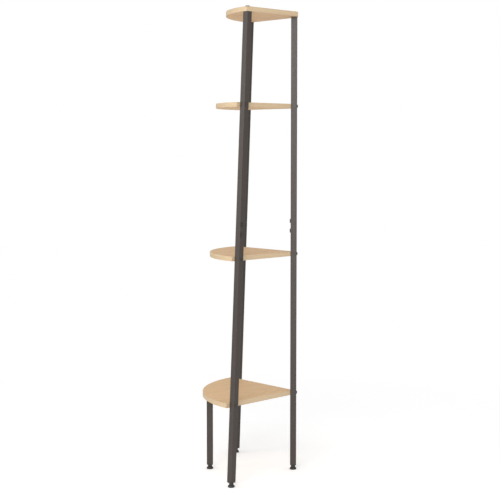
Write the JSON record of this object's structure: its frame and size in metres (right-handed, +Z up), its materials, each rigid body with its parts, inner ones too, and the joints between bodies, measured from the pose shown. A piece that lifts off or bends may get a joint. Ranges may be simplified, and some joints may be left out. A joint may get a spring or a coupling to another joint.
{
  "type": "corner shelf unit",
  "caption": "Tall corner shelf unit with quarter-round oak-look boards on a dark square-tube frame that leans inwards, on levelling feet.",
  "frame": {"origin": "on the floor under the middle of the unit's outline, midway in X and in Y", "axes": "+Z up, +X and +Y towards the two walls of the room's corner, which lie along the axes; the boards open towards -X and -Y"},
  "size_m": [0.3237, 0.3237, 1.503],
  "materials": {
    "board": "light oak-look laminate, satin",
    "tube": "dark brown-grey powder coat with a fine texture",
    "bolt": "dark coated steel, satin",
    "plastic": "black moulded plastic",
    "zinc": "bright zinc plate"
  },
  "bodies": {
    "frame": {"bottom_shelf": "board", "front_leg_foot_plug": "plastic", "front_leg_insert": "zinc", "front_leg_stud": "zinc", "front_leg_top_plug": "plastic", "front_leg_tube": "tube", "left_rail_bottom_bolt": "bolt", "left_rail_bottom_insert": "zinc", "left_rail_foot_plug": "plastic", "left_rail_joint_screw_1": "bolt", "left_rail_joint_screw_2": "bolt", "left_rail_lower_bolt": "bolt", "left_rail_lower_insert": "zinc", "left_rail_lower_tube": "tube", "left_rail_sleeve": "zinc", "left_rail_top_bolt": "bolt", "left_rail_top_plug": "plastic", "left_rail_upper_bolt": "bolt", "left_rail_upper_insert": "zinc", "left_rail_upper_tube": "tube", "lower_shelf": "board", "rear_post_bottom_bolt": "bolt", "rear_post_bottom_insert": "zinc", "rear_post_foot_plug": "plastic", "rear_post_joint_screw_1": "bolt", "rear_post_joint_screw_2": "bolt", "rear_post_lower_bolt": "bolt", "rear_post_lower_insert": "zinc", "rear_post_lower_tube": "tube", "rear_post_sleeve": "zinc", "rear_post_top_bolt": "bolt", "rear_post_top_plug": "plastic", "rear_post_upper_bolt": "bolt", "rear_post_upper_insert": "zinc", "rear_post_upper_tube": "tube", "right_rail_bottom_bolt": "bolt", "right_rail_bottom_insert": "zinc", "right_rail_foot_plug": "plastic", "right_rail_joint_screw_1": "bolt", "right_rail_joint_screw_2": "bolt", "right_rail_lower_bolt": "bolt", "right_rail_lower_insert": "zinc", "right_rail_lower_tube": "tube", "right_rail_sleeve": "zinc", "right_rail_top_bolt": "bolt", "right_rail_top_plug": "plastic", "right_rail_upper_bolt": "bolt", "right_rail_upper_insert": "zinc", "right_rail_upper_tube": "tube", "top_shelf": "board", "upper_shelf": "board"},
    "rear_post_pad": {"rear_post_foot_pad": "plastic"},
    "rear_post_stud": {"rear_post_foot_stud": "bolt"},
    "front_leg_pad": {"front_leg_foot_pad": "plastic"},
    "front_leg_stud": {"front_leg_foot_stud": "bolt"},
    "left_rail_pad": {"left_rail_foot_pad": "plastic"},
    "left_rail_stud": {"left_rail_foot_stud": "bolt"},
    "right_rail_pad": {"right_rail_foot_pad": "plastic"},
    "right_rail_stud": {"right_rail_foot_stud": "bolt"}
  },
  "joints": [
    {"name": "rear_post_foot_height", "type": "slide", "parent": "frame", "child": "rear_post_pad", "axis": [0, 0, -1], "range_m": [0, 0.01]},
    {"name": "rear_post_foot_turn", "type": "hinge", "parent": "rear_post_pad", "child": "rear_post_stud", "pos_m": [0.13845, 0.13845, 0.011], "axis": [0, 0, -1], "range_deg": [0, 2880]},
    {"name": "front_leg_foot_height", "type": "slide", "parent": "frame", "child": "front_leg_pad", "axis": [0, 0, -1], "range_m": [0, 0.01]},
    {"name": "front_leg_foot_turn", "type": "hinge", "parent": "front_leg_pad", "child": "front_leg_stud", "pos_m": [-0.0567, -0.0567, 0.011], "axis": [0, 0, -1], "range_deg": [0, 2880]},
    {"name": "left_rail_foot_height", "type": "slide", "parent": "frame", "child": "left_rail_pad", "axis": [0, 0, -1], "range_m": [0, 0.01]},
    {"name": "left_rail_foot_turn", "type": "hinge", "parent": "left_rail_pad", "child": "left_rail_stud", "pos_m": [-0.15085, 0.14875, 0.011], "axis": [0, 0, -1], "range_deg": [0, 2880]},
    {"name": "right_rail_foot_height", "type": "slide", "parent": "frame", "child": "right_rail_pad", "axis": [0, 0, -1], "range_m": [0, 0.01]},
    {"name": "right_rail_foot_turn", "type": "hinge", "parent": "right_rail_pad", "child": "right_rail_stud", "pos_m": [0.14875, -0.15085, 0.011], "axis": [0, 0, -1], "range_deg": [0, 2880]}
  ],
  "couplings": [
    {"joint": "rear_post_foot_turn", "follows": "rear_post_foot_height", "rad_per_m": 5026.5},
    {"joint": "front_leg_foot_turn", "follows": "front_leg_foot_height", "rad_per_m": 5026.5},
    {"joint": "left_rail_foot_turn", "follows": "left_rail_foot_height", "rad_per_m": 5026.5},
    {"joint": "right_rail_foot_turn", "follows": "right_rail_foot_height", "rad_per_m": 5026.5}
  ]
}
